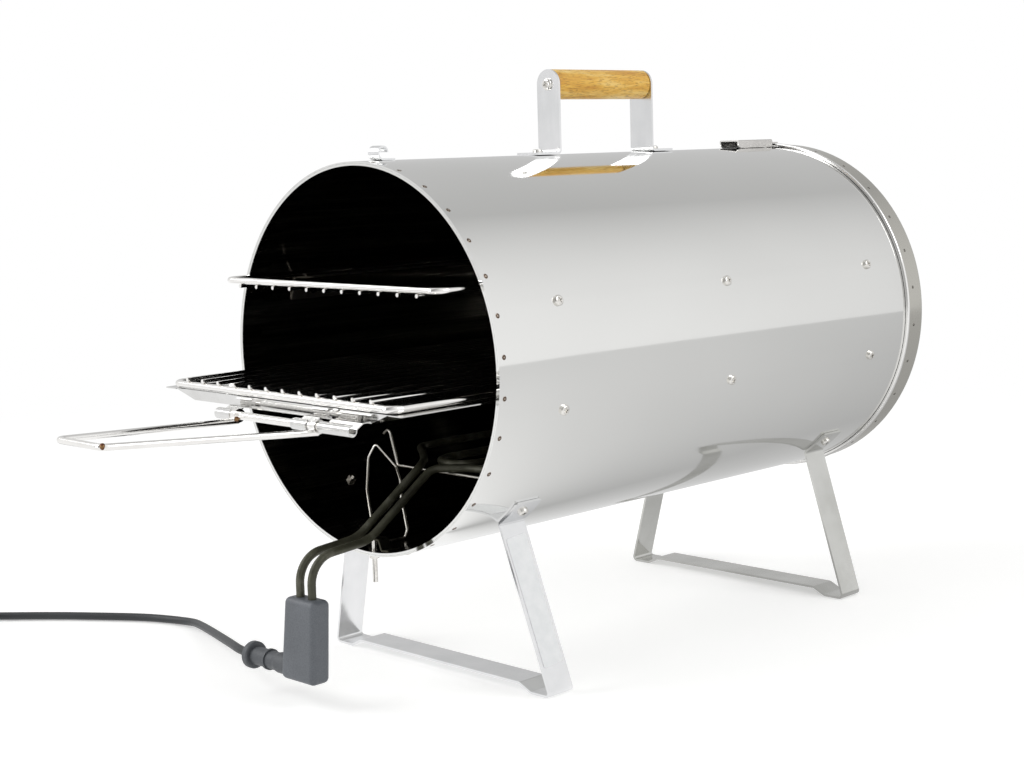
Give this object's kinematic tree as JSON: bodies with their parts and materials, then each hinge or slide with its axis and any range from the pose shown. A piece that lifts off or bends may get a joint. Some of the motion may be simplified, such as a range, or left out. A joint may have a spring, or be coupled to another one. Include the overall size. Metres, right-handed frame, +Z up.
{
  "type": "electric drum smoker",
  "caption": "Steel drum smoker lying on two strip legs, with an open front, pull-off rear lid, sliding racks, drip tray with folding handle, and electric heating tube.",
  "frame": {"origin": "on the floor, under the middle of the smoker's box without its cable", "axes": "+Y from the open front to the rear lid, along the drum; +Z up; +X to the right seen from the open front"},
  "size_m": [0.751, 0.8043, 0.4825],
  "materials": {
    "drum_steel": "mirror-polished stainless sheet",
    "lid_steel": "polished stainless sheet",
    "strip_steel": "bright stainless strip",
    "rail_steel": "plain steel angle",
    "fastener_steel": "bright steel fasteners",
    "rack_chrome": "chromed wire",
    "tray_steel": "polished sheet",
    "grip_wood": "oiled light wood",
    "element_tube": "dark olive oxidised tube",
    "stand_wire": "bright steel wire",
    "connector_grey": "dark grey moulding",
    "boot_rubber": "dark grey rubber",
    "cable_rubber": "black cable sheath",
    "plug_black": "black moulded plug",
    "pin_metal": "plated pins"
  },
  "bodies": {
    "root": {"drum_shell": "drum_steel", "mouth_ring": "drum_steel", "front_hook": "strip_steel", "rear_hook": "strip_steel", "upper_rail_right": "rail_steel", "upper_rail_left": "rail_steel", "lower_rail_right": "rail_steel", "lower_rail_left": "rail_steel", "rail_bolts": "fastener_steel", "rail_nuts": "fastener_steel", "leg_bolts": "fastener_steel", "leg_nuts": "fastener_steel", "handle_bolts": "fastener_steel", "handle_nuts": "fastener_steel", "grip_screws": "fastener_steel", "handle_strap_front": "strip_steel", "handle_strap_rear": "strip_steel", "wooden_grip": "grip_wood", "front_leg": "strip_steel", "rear_leg": "strip_steel", "heating_element": "element_tube", "element_stand_front": "stand_wire", "element_stand_rear": "stand_wire", "element_clamp": "strip_steel", "clamp_screw": "fastener_steel", "clamp_nut": "fastener_steel", "element_connector": "connector_grey", "strain_relief": "boot_rubber", "cable_free": "cable_rubber", "cable_coil": "cable_rubber", "cable_tail": "cable_rubber", "plug_body": "plug_black", "plug_pins": "pin_metal"},
    "upper_rack": {"upper_rack_frame": "rack_chrome", "upper_rack_wires": "rack_chrome"},
    "drip_tray": {"drip_tray": "tray_steel", "tray_hinge_bracket": "tray_steel"},
    "lower_rack": {"lower_rack_frame": "rack_chrome", "lower_rack_wires": "rack_chrome"},
    "tray_handle": {"tray_handle": "rack_chrome"},
    "rear_lid": {"rear_lid": "lid_steel", "lid_strap": "strip_steel"}
  },
  "joints": [
    {"name": "upper_rack_slide", "type": "slide", "parent": "root", "child": "upper_rack", "axis": [0, -1, 0], "range_m": [-0.046, 0.25]},
    {"name": "tray_slide", "type": "slide", "parent": "root", "child": "drip_tray", "axis": [0, -1, 0], "range_m": [-0.098, 0.22]},
    {"name": "lower_rack_slide", "type": "slide", "parent": "drip_tray", "child": "lower_rack", "axis": [0, -1, 0], "range_m": [-0.02, 0.25]},
    {"name": "tray_handle_fold", "type": "hinge", "parent": "drip_tray", "child": "tray_handle", "pos_m": [0, -0.23438, 0.2254], "axis": [-1, 0, 0], "range_deg": [0, 86]},
    {"name": "rear_lid_pull", "type": "slide", "parent": "root", "child": "rear_lid", "axis": [0, 1, 0], "range_m": [0, 0.09]}
  ]
}
